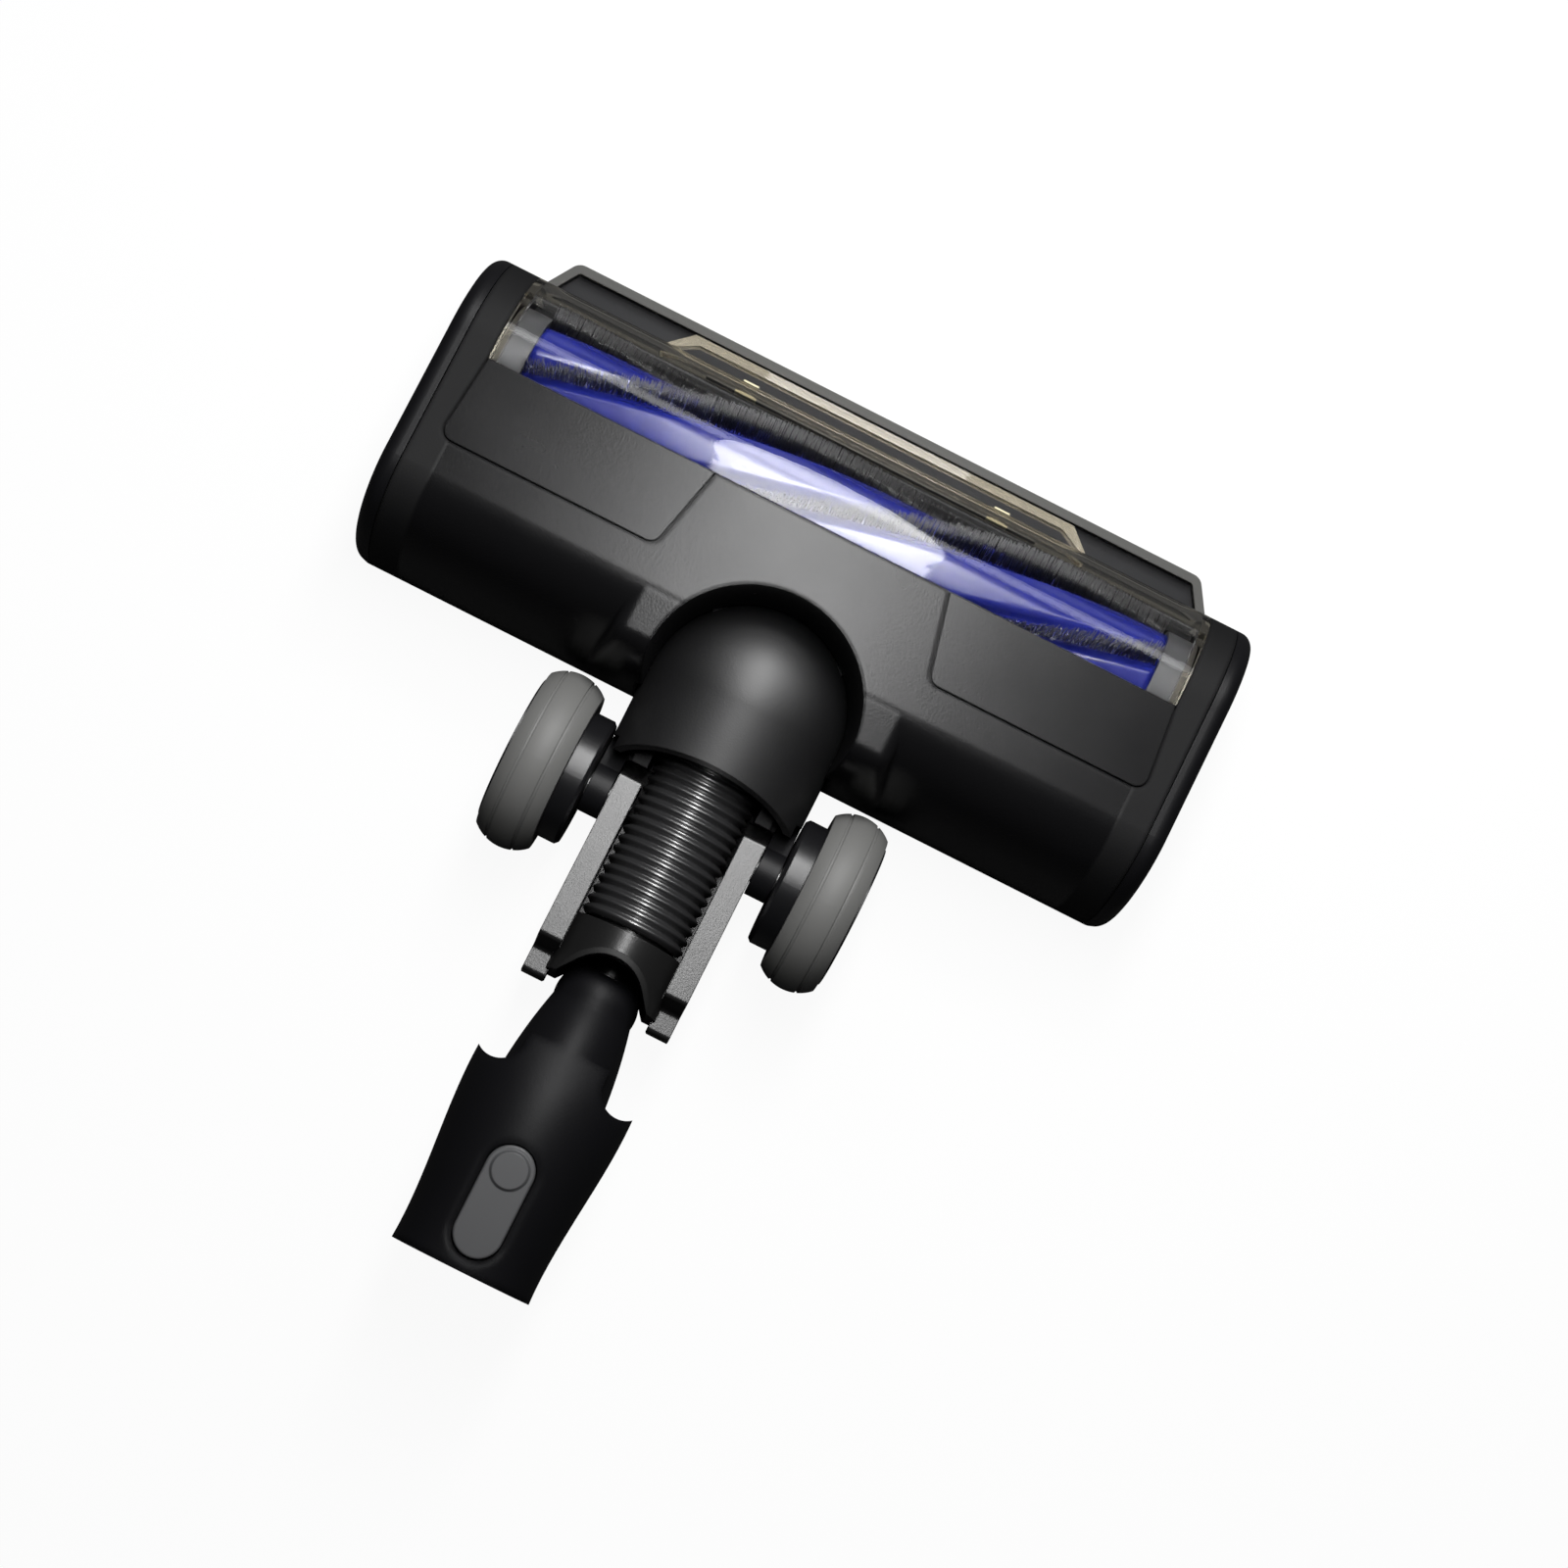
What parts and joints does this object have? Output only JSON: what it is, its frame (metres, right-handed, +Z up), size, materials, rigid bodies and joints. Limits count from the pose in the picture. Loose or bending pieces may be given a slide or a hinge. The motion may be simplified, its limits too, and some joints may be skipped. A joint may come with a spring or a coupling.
{
  "type": "vacuum floor brush head",
  "caption": "Powered floor head for a stick vacuum: brush roll under a clear cover, ribbed suction hose, tilting neck between its wheels, swivelling wand socket.",
  "frame": {"origin": "on the floor, at the middle of the footprint", "axes": "+Y to the front of the head along the cleaning direction, +X to its right, +Z up"},
  "size_m": [0.25, 0.2826, 0.0704],
  "materials": {
    "housing_black": "fine moulded texture, satin black",
    "hood_black": "fine moulded texture, satin black",
    "yoke_black": "moulded, satin black",
    "tube_black": "fine moulded texture, satin black",
    "bumper_grey": "dark grey, moulded",
    "cover_clear": "clear moulded window, slightly smoky, polished",
    "brush_blue": "glossy blue",
    "sleeve_grey": "mid grey, moulded",
    "bristle_black": "nylon bristle",
    "tyre_grey": "grey soft tyre",
    "hub_black": "black, moulded",
    "hose_black": "black flexible hose, slightly shiny",
    "seal_black": "black soft seal",
    "button_grey": "mid grey, satin",
    "sole_black": "black, moulded",
    "duct_black": "black, moulded",
    "pin_steel": "plain steel",
    "motor_steel": "plated can",
    "belt_rubber": "flat rubber belt",
    "pulley_plastic": "natural moulded",
    "board_green": "printed circuit board",
    "contact_brass": "bright",
    "terminal_black": "black, moulded",
    "pile_fabric": "short woven pile",
    "pad_grey": "low-friction plastic"
  },
  "bodies": {
    "head": {"upper_housing": "housing_black", "left_top_panel": "housing_black", "right_top_panel": "housing_black", "left_end_cap": "housing_black", "right_end_cap": "housing_black", "front_cover": "cover_clear", "headlight_board": "board_green", "front_bumper": "bumper_grey", "lower_housing": "sole_black", "control_board": "board_green", "left_roller_bearing": "pin_steel", "right_roller_bearing": "pin_steel", "drive_belt": "belt_rubber", "drive_motor": "motor_steel", "suction_duct": "duct_black", "duct_hood": "hood_black", "hinge_frame": "duct_black", "left_stub_axle": "pin_steel", "right_stub_axle": "pin_steel", "ribbed_hose": "hose_black", "pile_strip": "pile_fabric", "glide_pads": "pad_grey", "sole_screws": "pin_steel"},
    "brush_roll": {"roller_core": "brush_blue", "bristle_rows": "bristle_black", "left_roller_sleeve": "sleeve_grey", "right_roller_sleeve": "sleeve_grey", "roller_axle": "pin_steel", "driven_pulley": "pulley_plastic"},
    "motor_rotor": {"motor_pulley": "pin_steel"},
    "left_wheel": {"left_wheel_hub": "hub_black", "left_tyre": "tyre_grey", "left_hub_cap": "hub_black"},
    "right_wheel": {"right_wheel_hub": "hub_black", "right_tyre": "tyre_grey", "right_hub_cap": "hub_black"},
    "neck": {"neck_yoke": "yoke_black", "rim_seal": "seal_black", "swivel_pin": "pin_steel"},
    "wand_tube": {"connector_tube": "tube_black", "button_spring": "pin_steel", "terminal_block": "terminal_black", "contact_pins": "contact_brass"},
    "button": {"release_button": "button_grey"}
  },
  "joints": [
    {"name": "brush_spin", "type": "hinge", "parent": "head", "child": "brush_roll", "pos_m": [0, 0.101, 0.025], "axis": [1, 0, 0], "continuous": true},
    {"name": "motor_spin", "type": "hinge", "parent": "head", "child": "motor_rotor", "pos_m": [0, 0.054, 0.027], "axis": [1, 0, 0], "continuous": true},
    {"name": "left_wheel_spin", "type": "hinge", "parent": "head", "child": "left_wheel", "pos_m": [0, 0.002, 0.028], "axis": [1, 0, 0], "continuous": true},
    {"name": "right_wheel_spin", "type": "hinge", "parent": "head", "child": "right_wheel", "pos_m": [0, 0.002, 0.028], "axis": [1, 0, 0], "continuous": true},
    {"name": "neck_tilt", "type": "hinge", "parent": "head", "child": "neck", "pos_m": [0, 0.002, 0.028], "axis": [-1, 0, 0], "range_deg": [-8, 65], "deforming": ["ribbed_hose"]},
    {"name": "wand_swivel", "type": "hinge", "parent": "neck", "child": "wand_tube", "pos_m": [0, -0.05395, 0.03586], "axis": [0, 0.1392, 0.9903], "range_deg": [-30, 30]},
    {"name": "button_press", "type": "slide", "parent": "wand_tube", "child": "button", "axis": [0, -0.1392, -0.9903], "range_m": [0, 0.0015], "stiffness_N_per_m": 600, "deforming": ["button_spring"]}
  ],
  "couplings": [
    {"joint": "motor_spin", "follows": "brush_spin", "ratio": 2.4}
  ]
}
